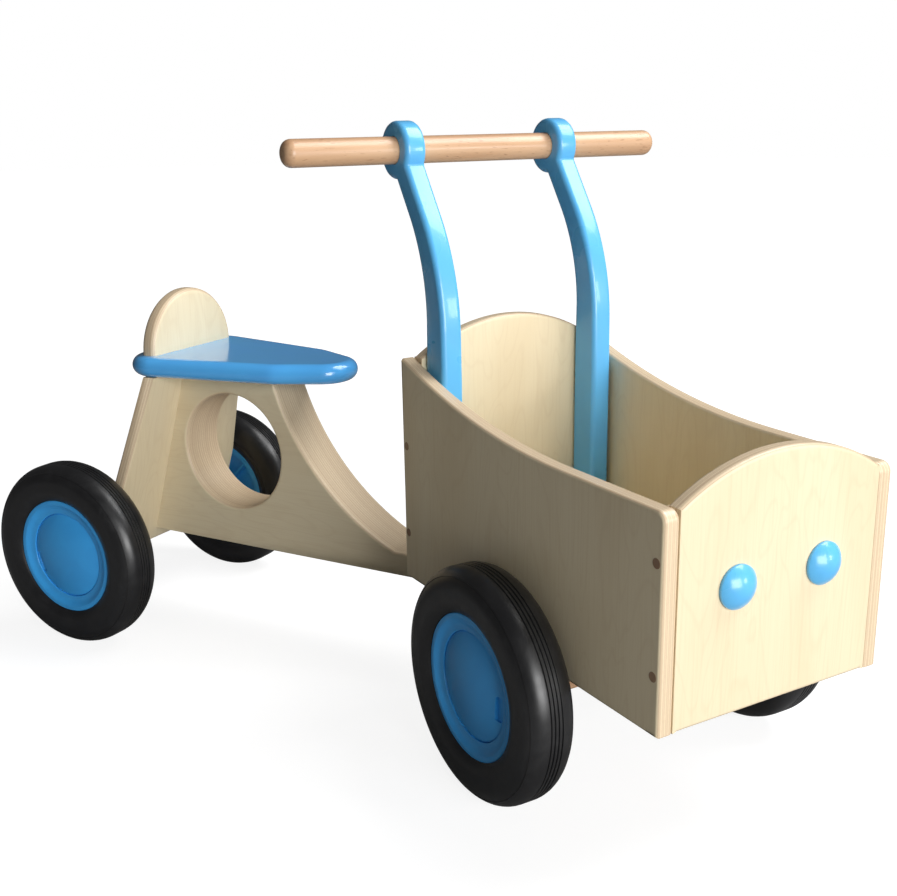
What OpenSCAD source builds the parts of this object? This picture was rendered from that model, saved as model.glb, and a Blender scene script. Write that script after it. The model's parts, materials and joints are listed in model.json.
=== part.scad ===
// Ride-on cargo cycle for a small child, in millimetres.
// A plywood cargo box with two wheels steers on a kingpin at the front of a wooden frame
// that carries the seat, the backrest and the rear axle.
// The box is drawn square to the axes, and the frame is drawn turned by the steering angle.

/* [Wheels] */
// Overall diameter of a tyre
wheel_d = 170; // [140:1:210]
// Width of a tyre
tyre_w = 40; // [34:1:50]
// Rounding of a tyre's shoulders
tyre_round = 15; // [8:1:16]
// Depth of the grooves round the tread
groove_depth = 1; // [0.4:0.1:2]
// Diameter of the hub where the tyre sits on it
hub_d = 106; // [90:1:120]
// Diameter of the cap in the middle of a hub
cap_d = 78.6; // [60:0.2:84]
// How far the cap bulges outwards
cap_bulge = 6; // [2:0.5:8]
// Wall of the plastic hub and its web
hub_wall = 4; // [3:0.5:6]
// How far the hub's rim lies inside the tyre's outer face
hub_inset = 5; // [2:0.5:8]

/* [Axles] */
// Diameter of both axles
axle_d = 8; // [6:0.5:12]
// Radial clearance of a wheel's bush on its axle
running_fit = 0.05; // [0.01:0.01:0.1]
// Wall of a wheel's bush
bush_wall = 2; // [1.5:0.5:3]
// End play of a wheel between its washers
end_play = 0.4; // [0.3:0.1:1]

/* [Cargo box] */
// Length of the box, along the way it rolls
box_l = 313; // [250:1:380]
// Width of the box
box_w = 190; // [160:1:240]
// Height of the sides at the front
side_h_front = 143; // [100:1:170]
// Height of the sides at the back
side_h_rear = 181; // [145:1:230]
// Length of the level part of a side's top edge
level_l = 100; // [40:1:150]
// Rise of the front panel's arched top
front_arch = 25; // [10:1:35]
// Rise of the rear panel's arched top
rear_arch = 27; // [10:1:40]
// Thickness of the box's plywood
ply_t = 12; // [9:0.5:15]
// Distance from the box's front back to the front axle
axle_back = 152.6; // [120:0.1:180]
// Distance from the box's underside down to the front axle
axle_drop = 21; // [14:1:30]
// Gap between a side and the tyre beside it
tyre_gap = 4; // [3:0.5:8]

/* [Headlight knobs] */
// Diameter of a knob
knob_d = 29; // [20:1:36]
// How far a knob stands out
knob_h = 9; // [6:1:14]
// Distance between the two knobs
knob_span = 73; // [50:1:90]
// Height of the knobs above the box's underside
knob_up = 86; // [60:1:100]

/* [Handle] */
// Thickness of a handle arm
arm_t = 18; // [12:1:22]
// Width of an arm inside the box
arm_w = 28; // [22:1:34]
// Width of an arm just below its eye
arm_neck_w = 20; // [16:1:28]
// Gap between an arm and the side beside it
arm_gap = 3; // [1:0.5:8]
// Height above the box's underside at which the arms start to bend back
arm_bend_up = 204; // [190:1:215]
// Radius of the bend in an arm
arm_bend_r = 152; // [110:1:180]
// Angle by which an arm bends back
arm_bend = 34; // [20:1:40]
// Diameter of the eye that holds the handlebar
eye_d = 44; // [38:1:56]
// Height of the handlebar's centre above the box's underside
bar_up = 336.5; // [325:0.5:370]
// Diameter of the handlebar
bar_d = 21; // [16:1:26]
// Length of the handlebar
bar_l = 344; // [260:1:420]

/* [Frame] */
// Angle by which the box is turned to the right
steer_angle = 30.7; // [0:0.1:40]
// Distance of the kingpin from the box's back
pivot_in = 24; // [22:1:40]
// Thickness of the main panel
panel_t = 46; // [36:1:56]
// Thickness of the panel's tongue under the box
tongue_t = 20.2; // [14:0.1:26]
// Distance from the kingpin back to the panel's lower rear corner
panel_back = 383; // [350:1:420]
// Lean of the panel's rear edge and of the rear board
lean = 17.4; // [8:0.2:22]
// Radius of the swept front edge of the panel
sweep_r = 227; // [200:1:260]
// Distance from the kingpin back to the centre of the sweep
sweep_back = 14; // [0:1:30]
// Height of the sweep's centre above the panel's underside
sweep_up = 226; // [216:1:240]
// Diameter of the round hole in the panel
hole_d = 108; // [60:1:116]
// Distance from the kingpin back to the hole's centre
hole_back = 281.5; // [270:0.5:290]
// Height of the hole's centre above the panel's underside
hole_up = 90; // [78:1:96]

/* [Rear board] */
// Thickness of the rear board
board_t = 12; // [9:0.5:18]
// Width of the rear board under the seat
board_w_top = 124; // [90:1:140]
// Width of the rear board between the wheels
board_w_low = 162; // [130:1:172]
// How far the board reaches below the panel, along its slope
board_drop = 13; // [4:1:20]
// Slope length over which the board is at its full width
board_low_l = 72; // [40:1:100]
// Half the distance between the middles of the rear tyres
rear_half_track = 111; // [108:1:130]

/* [Seat] */
// Thickness of the seat
seat_t = 18; // [14:1:24]
// Height of the seat's top above the panel's underside
seat_up = 180; // [172:1:200]
// Width of the seat at the back
seat_w = 134; // [110:1:160]
// Distance from the kingpin back to the seat's rear edge
seat_back = 370; // [350:1:400]
// Distance from the kingpin back to the seat's front edge
seat_front = 161; // [140:1:185]
// Height of the backrest above the seat
backrest_h = 54.5; // [40:0.5:80]
// Thickness of the backrest
backrest_t = 15; // [9:1:20]
// Distance from the kingpin back to the front of the backrest
backrest_back = 338; // [325:1:350]
// How deep the backrest is let into the seat
housing = 2; // [1:0.5:4]

/* [Fixings] */
// Diameter of the kingpin bolt
kingpin_d = 8; // [6:0.5:10]
// Thickness of the nylon washer that the box turns on
thrust_t = 2.5; // [1.5:0.5:4]
// Gap that lets the box turn on the washer
turn_gap = 0.3; // [0.3:0.1:0.6]
// Diameter of the wood screws
screw_d = 4; // [3:0.5:5]
// Diameter of the wooden dowels
dowel_d = 8; // [6:1:10]
// Diameter of the plugs over the screws in the box's sides
plug_d = 7; // [6.5:0.5:10]

/* [Hidden] */
$fn = 64;

// Colours
blond = [0.93, 0.84, 0.68];
beech = [0.88, 0.72, 0.54];
sky = [0.47, 0.78, 0.98];
azure = [0.2, 0.55, 0.9];
black = [0.08, 0.08, 0.09];
steel = [0.72, 0.73, 0.75];
nylon = [0.9, 0.9, 0.88];

// Wheels, along their own axis from the inner face outwards
wheel_r = wheel_d / 2;
hub_r = hub_d / 2;
cap_r = cap_d / 2;
axle_r = axle_d / 2;
bush_r = axle_r + running_fit + bush_wall;
boss_r = bush_r + hub_wall + 3;
flange_t = 1.5;
ridge_h = 3;
ridge_w = 8;
rim_z = tyre_w - hub_inset;
cap_seat_z = rim_z - cap_bulge;
cap_edge_t = 2;
cap_top_z = cap_seat_z + cap_edge_t + cap_bulge;
cap_sphere_r = (cap_r * cap_r + cap_bulge * cap_bulge) / (2 * cap_bulge);
cap_wall = 2.2;
cap_fit = 0.2;
washer_t = 1.5;
washer_r = axle_r + 5;
nut_h = 6;
nut_r = axle_r + 3;
axle_end_z = cap_top_z - cap_wall - 2;
nut_z = axle_end_z - nut_h - 0.5;
boss_z = nut_z - washer_t - end_play;
front_half_track = box_w / 2 + tyre_gap + tyre_w / 2;
front_axle_half = front_half_track - tyre_w / 2 + axle_end_z;
rear_axle_half = rear_half_track - tyre_w / 2 + axle_end_z;

// Cargo box, with its front face at x = 0
axle_x = -axle_back;
box_z = wheel_r + axle_drop;
side_y = box_w / 2 - ply_t;
sweep_run = box_l - level_l;
sweep_rise = side_h_rear - side_h_front;
side_r = (sweep_run * sweep_run + sweep_rise * sweep_rise) / (2 * sweep_rise);
corner_r = 7;
screw_r = screw_d / 2;
head_h = 2.6;
head_r = screw_r + 2;
plug_r = plug_d / 2;
plug_t = 4;
plug_head_r = plug_r - 0.2;
panel_screw_l = 34;
panel_screw_up = [39, 111];
block_w = 36;
block_under = 11;
block_h = axle_drop + axle_r + block_under;

// Handle arms
arm_y = side_y - arm_gap - arm_t / 2;
arm_back_x = -box_l + ply_t;
arm_x = arm_back_x + arm_w / 2;
arm_bend_z = box_z + arm_bend_up;
bar_z = box_z + bar_up;
bend_end_x = arm_x - arm_bend_r * (1 - cos(arm_bend));
bend_end_z = arm_bend_z + arm_bend_r * sin(arm_bend);
bar_x = bend_end_x - (bar_z - bend_end_z) * tan(arm_bend);
bar_end_r = 7;
arm_screw_z = [box_z + 48, box_z + 130];
arm_screw_l = ply_t + 20;
pin_r = 2;
pin_l = eye_d / 2 - bar_d / 2 + 8;

// Frame, from the kingpin, with x forward
pivot_x = -box_l + pivot_in;
kingpin_r = kingpin_d / 2;
tongue_top = box_z - turn_gap - thrust_t;
panel_z = tongue_top - tongue_t;
seat_z = panel_z + seat_up;
sweep_z = panel_z + sweep_up;
hole_z = panel_z + hole_up;
king_bush_r = kingpin_r + running_fit + 2;
king_washer_t = 1.6;
king_washer_r = kingpin_r + 5;
king_nut_h = 8;
king_head_h = 5;
seat_under = seat_z - seat_t;
sweep_top_x = -sweep_back - sqrt(sweep_r * sweep_r - pow(sweep_z - seat_under, 2));
sweep_low_x = -sweep_back - sqrt(sweep_r * sweep_r - pow(sweep_z - tongue_top, 2));
sweep_from = atan2(seat_under - sweep_z, sweep_top_x + sweep_back) + 360;
sweep_to = atan2(tongue_top - sweep_z, sweep_low_x + sweep_back) + 360;
sweep_steps = 24;
board_top_l = (seat_under - panel_z) / cos(lean) + board_t * tan(lean);
board_screw_up = [20, 144];
board_screw_l = board_t + 22;
board_screw_y = 12;

// Rear axle, on the board's slope
axle_wall = 1;
axle_behind = board_t + axle_wall + axle_r;
axle_up = (wheel_r - panel_z - axle_behind * sin(lean)) / cos(lean);
rear_axle_x = -panel_back - axle_behind * cos(lean) + axle_up * sin(lean);
rear_block_d = 2 * (axle_r + axle_wall) + 14;
rear_block_h = 34;
rear_block_half = rear_half_track - tyre_w / 2 - 7;
rear_block_screw_y = 58;

// Seat
seat_corner_r = 30;
seat_side_r = 45;
seat_nose_r = 30;
seat_side_x = -(seat_back + seat_front) / 2 - 9;
dowel_r = dowel_d / 2;
seat_dowel_x = [-panel_back + 78, sweep_top_x - 20];
seat_dowel_up = 10;
dowel_l = 26;
backrest_dowel_y = 26;

// Plan size, for the origin under the middle of the whole thing
turned_x = (wheel_r - tyre_round) * cos(steer_angle) + tyre_round;
turned_y = (wheel_r - tyre_round) * sin(steer_angle) + tyre_round;
rear_out = rear_half_track + tyre_w / 2 - tyre_round;
x_min = pivot_x + rear_axle_x * cos(steer_angle) - rear_out * sin(steer_angle) - turned_x;
y_min = rear_axle_x * sin(steer_angle) - rear_out * cos(steer_angle) - turned_y;
x_max = knob_h;
y_max = max(front_half_track + tyre_w / 2, bar_l / 2);
mid_x = (x_min + x_max) / 2;
mid_y = (y_min + y_max) / 2;

// Placing
module placed() translate([-mid_x, -mid_y, 0]) children();

module in_frame() placed() translate([pivot_x, 0, 0]) rotate([0, 0, steer_angle]) children();

module on_slope() translate([-panel_back, 0, panel_z]) rotate([0, lean, 0]) children();

module at_wheel(x, half_track, side)
  translate([x, side * (half_track - tyre_w / 2), wheel_r]) rotate([-90 * side, 0, 0]) children();

module both_ways() {
  children();
  mirror([0, 1, 0]) children();
}

// Shapes that repeat
module across(r, half) rotate([90, 0, 0]) cylinder(r = r, h = 2 * half, center = true);

module ring(r_out, r_in, h) difference() {
  cylinder(r = r_out, h = h);
  translate([0, 0, -1]) cylinder(r = r_in, h = h + 2);
}

// A round-headed wood screw whose shank runs down from z = 0, with its head above
module wood_screw(length, head = head_r) {
  translate([0, 0, -length]) cylinder(r = screw_r, h = length);
  difference() {
    cylinder(r = head, h = head_h);
    translate([0, 0, head_h - 1]) rotate([0, 0, 45]) cube([1, 6, 3], center = true);
  }
}

module screw_shank(length) translate([0, 0, -length]) cylinder(r = screw_r, h = length + 1);

// Wheels
function arc_points(cx, cy, r, from, to, steps) =
  [for (i = [0 : steps]) let (a = from + (to - from) * i / steps) [cx + r * cos(a), cy + r * sin(a)]];

module tyre_profile() {
  far = wheel_r - tyre_round;
  mid = tyre_w / 2;
  difference() {
    polygon(concat(
      [[hub_r, hub_inset], [hub_r + 4, 0.45 * hub_inset], [hub_r + 10, 0]],
      arc_points(far, tyre_round, tyre_round, -90, 0, 6),
      arc_points(far, tyre_w - tyre_round, tyre_round, 0, 90, 6),
      [[hub_r + 10, tyre_w], [hub_r + 4, tyre_w - 0.45 * hub_inset], [hub_r, rim_z],
       [hub_r, mid + ridge_w / 2], [hub_r + ridge_h, mid + ridge_w / 2],
       [hub_r + ridge_h, mid - ridge_w / 2], [hub_r, mid - ridge_w / 2]]));
    for (i = [-1.5 : 1 : 1.5])
      translate([wheel_r - groove_depth, mid + 3 * i - 0.5]) square([groove_depth + 1, 1]);
  }
}

module tyre() color(black) rotate_extrude() tyre_profile();

module hub() color(azure) rotate_extrude() {
  mid = tyre_w / 2;
  web_z = mid - hub_wall / 2 - 4;
  inner_r = hub_r - hub_wall - 2;
  ledge_r = cap_r - 3.3;
  polygon([
    [bush_r, flange_t], [boss_r, flange_t], [boss_r, web_z], [inner_r, web_z],
    [inner_r, hub_inset], [hub_r, hub_inset], [hub_r, mid - ridge_w / 2],
    [hub_r + ridge_h, mid - ridge_w / 2], [hub_r + ridge_h, mid + ridge_w / 2],
    [hub_r, mid + ridge_w / 2], [hub_r, rim_z - 0.6], [hub_r - 1, rim_z], [hub_r - 4, rim_z],
    [cap_r + 2, cap_seat_z + 3], [cap_r + cap_fit, cap_seat_z + 1.6], [cap_r + cap_fit, cap_seat_z],
    [ledge_r, cap_seat_z], [ledge_r, web_z + hub_wall], [boss_r, web_z + hub_wall],
    [boss_r, boss_z], [bush_r, boss_z]]);
}

module hub_cap(slot_turn) color(azure) difference() {
  intersection() {
    translate([0, 0, cap_seat_z]) cylinder(r = cap_r, h = cap_bulge + cap_edge_t + 1);
    translate([0, 0, cap_top_z - cap_sphere_r]) difference() {
      sphere(r = cap_sphere_r, $fn = 96);
      sphere(r = cap_sphere_r - cap_wall, $fn = 96);
    }
  }
  rotate([0, 0, slot_turn]) translate([cap_r - 8, -10, cap_seat_z + 1]) cube([9, 20, 20]);
}

module bush() color(nylon) {
  ring(bush_r, axle_r + running_fit, boss_z);
  ring(bush_r + 2.5, axle_r + running_fit, flange_t);
}

// Axles and what holds the wheels on them
module axle(half) color(steel) across(axle_r, half);

module axle_washers(half_track, block_half) color(steel) both_ways() {
  rotate([-90, 0, 0]) translate([0, 0, block_half])
    ring(washer_r, axle_r, half_track - tyre_w / 2 - block_half - end_play);
  rotate([-90, 0, 0]) translate([0, 0, half_track - tyre_w / 2 + nut_z - washer_t])
    ring(washer_r, axle_r, washer_t);
}

module axle_nuts(half_track) color(steel) both_ways()
  rotate([-90, 0, 0]) translate([0, 0, half_track - tyre_w / 2 + nut_z]) difference() {
    cylinder(r = nut_r, h = nut_h, $fn = 6);
    translate([0, 0, -1]) cylinder(r = axle_r, h = nut_h + 2);
  }

// Cargo box
module side_outline() difference() {
  translate([-box_l, 0]) square([box_l, side_h_rear]);
  translate([-level_l, side_h_front + side_r]) circle(r = side_r, $fn = 360);
  translate([-level_l, side_h_front]) square([level_l + 1, side_h_rear]);
  translate([-corner_r, side_h_front - corner_r]) difference() {
    square(corner_r + 1);
    circle(r = corner_r);
  }
}

module side_screw_places() for (x = [-ply_t / 2, -box_l + ply_t / 2]) for (up = panel_screw_up)
  translate([x, 0, box_z + up]) children();

// One side, on the +Y side
module side_panel() color(blond) difference() {
  translate([0, box_w / 2, box_z]) rotate([90, 0, 0]) linear_extrude(ply_t) side_outline();
  side_screw_places() translate([0, box_w / 2, 0]) rotate([-90, 0, 0]) {
    translate([0, 0, -plug_t - head_h]) cylinder(r = plug_r, h = plug_t + head_h + 1);
    translate([0, 0, -ply_t - 1]) cylinder(r = screw_r, h = ply_t + 2);
  }
}

module panel_screws() color(steel) both_ways() side_screw_places()
  translate([0, box_w / 2 - plug_t - head_h, 0]) rotate([-90, 0, 0]) wood_screw(panel_screw_l, plug_head_r);

module screw_plugs() color(beech) both_ways() side_screw_places()
  translate([0, box_w / 2 - plug_t, 0]) rotate([-90, 0, 0]) cylinder(r = plug_r, h = plug_t);

// A cross panel from x = 0 to x = ply_t, with an arched top
module arched_panel(height, rise) {
  arch_r = (side_y * side_y + rise * rise) / (2 * rise);
  translate([ply_t, 0, box_z]) rotate([90, 0, -90]) linear_extrude(ply_t) intersection() {
    translate([-side_y, 0]) square([2 * side_y, height + rise]);
    union() {
      translate([-side_y, 0]) square([2 * side_y, height]);
      translate([0, height + rise - arch_r]) circle(r = arch_r, $fn = 180);
    }
  }
}

module side_screw_holes() both_ways() side_screw_places()
  translate([0, side_y, 0]) rotate([-90, 0, 0]) screw_shank(panel_screw_l);

module front_panel() color(blond) difference() {
  translate([-ply_t, 0, 0]) arched_panel(side_h_front, front_arch);
  side_screw_holes();
  for (side = [-1, 1]) translate([-ply_t - 1, side * knob_span / 2, box_z + knob_up])
    rotate([0, 90, 0]) cylinder(r = dowel_r, h = ply_t + 2);
}

module rear_panel() color(blond) difference() {
  translate([-box_l, 0, 0]) arched_panel(side_h_rear, rear_arch);
  side_screw_holes();
  arm_screw_places() screw_shank(arm_screw_l);
}

module floor_panel() color(blond) difference() {
  translate([-box_l + ply_t, -side_y, box_z]) cube([box_l - 2 * ply_t, 2 * side_y, ply_t]);
  translate([pivot_x, 0, box_z - 1]) cylinder(r = kingpin_r, h = ply_t + 2);
  front_block_screw_places() {
    screw_shank(ply_t + 4);
    translate([0, 0, -head_h]) cylinder(r = head_r, h = head_h + 1);
  }
}

module headlight_knob(side) color(sky) translate([0, side * knob_span / 2, box_z + knob_up]) {
  knob_r = knob_d / 2;
  dome_r = (knob_r * knob_r + pow(knob_h - 2, 2)) / (2 * (knob_h - 2));
  rotate([0, 90, 0]) cylinder(r = knob_r, h = 2);
  rotate([0, 90, 0]) intersection() {
    translate([0, 0, 2]) cylinder(r = knob_r, h = knob_h);
    translate([0, 0, knob_h - dome_r]) sphere(r = dome_r);
  }
  translate([-ply_t, 0, 0]) rotate([0, 90, 0]) cylinder(r = dowel_r, h = ply_t);
}

// Handle
function arm_centre(t) = t <= 1
  ? [arm_x, box_z + ply_t + (arm_bend_z - box_z - ply_t) * t]
  : let (a = arm_bend * min(t - 1, 1), s = max(t - 2, 0))
    [arm_x - arm_bend_r * (1 - cos(a)) - s * (bend_end_x - bar_x),
     arm_bend_z + arm_bend_r * sin(a) + s * (bar_z - bend_end_z)];

function arm_angle(t) = arm_bend * max(0, min(t - 1, 1));

function arm_half(t) = (arm_w + (arm_neck_w - arm_w) * max(0, min((t - 0.8) / 1.2, 1))) / 2;

arm_steps = concat([0, 0.8], [for (i = [0 : 12]) 1 + i / 12], [2.5, 2.9]);

module arm_outline() {
  polygon(concat(
    [for (t = arm_steps) arm_centre(t) + arm_half(t) * [cos(arm_angle(t)), sin(arm_angle(t))]],
    [for (i = [len(arm_steps) - 1 : -1 : 0]) let (t = arm_steps[i])
      arm_centre(t) - arm_half(t) * [cos(arm_angle(t)), sin(arm_angle(t))]]));
  translate([bar_x, bar_z]) circle(d = eye_d);
}

// Screws through the back of the box into the arms, their heads behind
module arm_screw_places() for (side = [-1, 1]) for (z = arm_screw_z)
  translate([-box_l, side * arm_y, z]) rotate([0, -90, 0]) children();

module handle_arm(side) color(sky) difference() {
  translate([0, side * arm_y + arm_t / 2, 0]) rotate([90, 0, 0]) linear_extrude(arm_t) arm_outline();
  translate([bar_x, side * arm_y, bar_z]) across(bar_d / 2, arm_t);
  arm_screw_places() screw_shank(arm_screw_l);
  pin_places() cylinder(r = pin_r, h = pin_l + 2);
}

// Pins from the back of each eye into the handlebar
module pin_places() for (side = [-1, 1]) translate([bar_x, side * arm_y, bar_z])
  rotate([0, -90, 0]) translate([0, 0, bar_d / 2 - 8]) children();

module arm_screws() color(steel) arm_screw_places() wood_screw(arm_screw_l);

module handlebar() color(beech) difference() {
  translate([bar_x, 0, bar_z]) {
    across(bar_d / 2, bar_l / 2 - bar_end_r);
    for (side = [-1, 1]) translate([0, side * (bar_l / 2 - bar_end_r), 0])
      rotate([-90 * side, 0, 0]) rotate_extrude() intersection() {
        square([bar_d / 2, bar_end_r]);
        union() {
          translate([bar_d / 2 - bar_end_r, 0]) circle(r = bar_end_r);
          square([bar_d / 2 - bar_end_r, bar_end_r]);
        }
      }
  }
  pin_places() cylinder(r = pin_r, h = pin_l + 2);
}

module handlebar_pins() color(beech) pin_places() cylinder(r = pin_r, h = pin_l - 0.4);

// Front axle
module front_block_screw_places() for (side = [-1, 1]) for (end = [-1, 1])
  translate([axle_x + end * block_w / 3.6, side * 55, box_z + ply_t]) children();

module front_axle_block() color(beech) difference() {
  translate([axle_x - block_w / 2, -box_w / 2, box_z - block_h]) cube([block_w, box_w, block_h]);
  translate([axle_x, 0, wheel_r]) across(axle_r, box_w);
  front_block_screw_places() screw_shank(ply_t + 16);
}

module front_block_screws() color(steel) front_block_screw_places()
  translate([0, 0, -head_h]) wood_screw(ply_t + 16 - head_h);

// Kingpin, fixed in the floor of the box and turning in the frame's bush
module kingpin_bolt() color(steel) translate([pivot_x, 0, 0]) {
  low = panel_z - king_washer_t - turn_gap - king_nut_h - 2;
  translate([0, 0, low]) cylinder(r = kingpin_r, h = box_z + ply_t + king_washer_t - low + 1);
  translate([0, 0, box_z + ply_t + king_washer_t]) intersection() {
    cylinder(r = king_washer_r - 1, h = king_head_h);
    translate([0, 0, king_head_h - 12]) sphere(r = 12);
  }
}

module kingpin_washers() color(steel) translate([pivot_x, 0, 0]) {
  translate([0, 0, box_z + ply_t]) ring(king_washer_r, kingpin_r, king_washer_t);
  translate([0, 0, panel_z - turn_gap - king_washer_t]) ring(king_washer_r, kingpin_r, king_washer_t);
}

module kingpin_nut() color(steel)
  translate([pivot_x, 0, panel_z - turn_gap - king_washer_t - king_nut_h]) difference() {
    cylinder(r = kingpin_r * 1.85, h = king_nut_h, $fn = 6);
    translate([0, 0, -1]) cylinder(r = kingpin_r, h = king_nut_h + 2);
  }

// Frame
module main_outline() difference() {
  polygon(concat(
    [[0, panel_z], [0, tongue_top]],
    arc_points(-sweep_back, sweep_z, sweep_r, sweep_to, sweep_from, sweep_steps),
    [[-panel_back + (seat_under - panel_z) * tan(lean), seat_under], [-panel_back, panel_z]]));
  translate([-hole_back, hole_z]) circle(d = hole_d);
}

module main_panel() color(blond) difference() {
  union() {
    translate([0, panel_t / 2, 0]) rotate([90, 0, 0]) linear_extrude(panel_t) main_outline();
    translate([0, 0, panel_z]) cylinder(r = panel_t / 2, h = tongue_top - panel_z);
  }
  translate([0, 0, panel_z - 1]) cylinder(r = king_bush_r, h = tongue_top - panel_z + 2);
  board_screw_places() screw_shank(board_screw_l);
  seat_dowel_places(-dowel_l + seat_dowel_up) cylinder(r = dowel_r, h = dowel_l);
}

module kingpin_bush() color(nylon)
  translate([0, 0, panel_z]) ring(king_bush_r, kingpin_r + running_fit, tongue_top - panel_z);

module thrust_washer() color(nylon)
  translate([0, 0, tongue_top]) ring(panel_t / 2 - 3, kingpin_r + running_fit, thrust_t);

// The rear board, its front face on the panel's leaning edge
module rear_board() color(blond) difference() {
  on_slope() rotate([90, 0, -90]) linear_extrude(board_t) offset_corners();
  translate([-panel_back - 100, -box_w, seat_under]) cube([300, 2 * box_w, 100]);
  board_screw_places() screw_shank(board_screw_l);
  rear_block_screw_places() screw_shank(rear_block_d + board_t - 3);
}

module offset_corners() {
  half_low = board_w_low / 2;
  half_top = board_w_top / 2;
  low_r = 10;
  polygon([
    [-half_low + low_r, -board_drop], [half_low - low_r, -board_drop],
    [half_low, -board_drop + low_r], [half_low, board_low_l - board_drop],
    [half_top, board_top_l], [-half_top, board_top_l],
    [-half_low, board_low_l - board_drop], [-half_low, -board_drop + low_r]]);
  for (side = [-1, 1]) translate([side * (half_low - low_r), low_r - board_drop]) circle(r = low_r);
}

module board_screw_places() on_slope() for (side = [-1, 1]) for (up = board_screw_up)
  translate([-board_t, side * board_screw_y, up]) rotate([0, -90, 0]) children();

module board_screws() color(steel) board_screw_places() wood_screw(board_screw_l);

// Seat
module round_disc(r) rotate_extrude($fn = 40) {
  square([r - seat_t / 2, seat_t]);
  translate([r - seat_t / 2, seat_t / 2]) circle(d = seat_t, $fn = 24);
}

module seat() color(azure) difference() {
  translate([0, 0, seat_under]) hull() {
    for (side = [-1, 1]) {
      translate([-seat_back + seat_corner_r, side * (seat_w / 2 - seat_corner_r), 0])
        round_disc(seat_corner_r);
      translate([seat_side_x, side * (seat_w / 2 - seat_side_r - 12), 0]) round_disc(seat_side_r);
    }
    translate([-seat_front - seat_nose_r, 0, 0]) round_disc(seat_nose_r);
  }
  seat_dowel_places(-1) cylinder(r = dowel_r, h = seat_dowel_up + 1);
  backrest_dowel_places(-dowel_r * 2) cylinder(r = dowel_r, h = dowel_l);
  translate([-backrest_back - backrest_t, -backrest_h, seat_z - housing])
    cube([backrest_t, 2 * backrest_h, housing + 1]);
}

module seat_dowel_places(up) for (x = seat_dowel_x) translate([x, 0, seat_under + up]) children();

module seat_dowels() color(beech)
  seat_dowel_places(-dowel_l + seat_dowel_up) cylinder(r = dowel_r, h = dowel_l);

module backrest_dowel_places(up) for (side = [-1, 1])
  translate([-backrest_back - backrest_t / 2, side * backrest_dowel_y, seat_z + up]) children();

module backrest() color(blond) difference() {
  translate([-backrest_back, 0, seat_z]) rotate([90, 0, -90]) linear_extrude(backrest_t) {
    intersection() {
      circle(r = backrest_h, $fn = 96);
      translate([-backrest_h, 0]) square([2 * backrest_h, backrest_h]);
    }
    translate([-backrest_h, -housing]) square([2 * backrest_h, housing]);
  }
  backrest_dowel_places(-housing - 1) cylinder(r = dowel_r, h = dowel_l - 2 * dowel_r + housing + 1);
}

module backrest_dowels() color(beech)
  backrest_dowel_places(-dowel_r * 2) cylinder(r = dowel_r, h = dowel_l);

// Rear axle
module rear_block_screw_places() on_slope() for (side = [-1, 1]) for (up = [-11, 11])
  translate([-board_t - rear_block_d, side * rear_block_screw_y, axle_up + up])
    rotate([0, -90, 0]) children();

module rear_axle_block() color(beech) difference() {
  on_slope() difference() {
    translate([-board_t - rear_block_d, -rear_block_half, axle_up - rear_block_h / 2])
      cube([rear_block_d, 2 * rear_block_half, rear_block_h]);
    translate([-axle_behind, 0, axle_up]) across(axle_r, box_w);
  }
  rear_block_screw_places() screw_shank(rear_block_d + board_t - 3);
}

module rear_block_screws() color(steel)
  rear_block_screw_places() wood_screw(rear_block_d + board_t - 3);

module on_rear_axle() in_frame() translate([rear_axle_x, 0, wheel_r]) children();

module on_front_axle() placed() translate([axle_x, 0, wheel_r]) children();

placed() mirror([0, 1, 0]) side_panel();  // side_panel_right
placed() side_panel();  // side_panel_left
placed() front_panel();
placed() rear_panel();
placed() floor_panel();
placed() panel_screws();
placed() screw_plugs();
placed() headlight_knob(-1);  // headlight_knob_right
placed() headlight_knob(1);  // headlight_knob_left
placed() handle_arm(-1);  // handle_arm_right
placed() handle_arm(1);  // handle_arm_left
placed() arm_screws();
placed() handlebar();
placed() handlebar_pins();
placed() front_axle_block();
placed() front_block_screws();
on_front_axle() axle(front_axle_half);  // front_axle
on_front_axle() axle_washers(front_half_track, box_w / 2);  // front_axle_washers
on_front_axle() axle_nuts(front_half_track);  // front_axle_nuts
placed() kingpin_bolt();
placed() kingpin_washers();
placed() kingpin_nut();

placed() at_wheel(axle_x, front_half_track, -1) tyre();  // front_right_tyre
placed() at_wheel(axle_x, front_half_track, -1) hub();  // front_right_hub
placed() at_wheel(axle_x, front_half_track, -1) hub_cap(-17);  // front_right_cap
placed() at_wheel(axle_x, front_half_track, -1) bush();  // front_right_bush
placed() at_wheel(axle_x, front_half_track, 1) tyre();  // front_left_tyre
placed() at_wheel(axle_x, front_half_track, 1) hub();  // front_left_hub
placed() at_wheel(axle_x, front_half_track, 1) hub_cap(60);  // front_left_cap
placed() at_wheel(axle_x, front_half_track, 1) bush();  // front_left_bush
in_frame() at_wheel(rear_axle_x, rear_half_track, -1) tyre();  // rear_right_tyre
in_frame() at_wheel(rear_axle_x, rear_half_track, -1) hub();  // rear_right_hub
in_frame() at_wheel(rear_axle_x, rear_half_track, -1) hub_cap(199);  // rear_right_cap
in_frame() at_wheel(rear_axle_x, rear_half_track, -1) bush();  // rear_right_bush
in_frame() at_wheel(rear_axle_x, rear_half_track, 1) tyre();  // rear_left_tyre
in_frame() at_wheel(rear_axle_x, rear_half_track, 1) hub();  // rear_left_hub
in_frame() at_wheel(rear_axle_x, rear_half_track, 1) hub_cap(120);  // rear_left_cap
in_frame() at_wheel(rear_axle_x, rear_half_track, 1) bush();  // rear_left_bush

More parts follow.
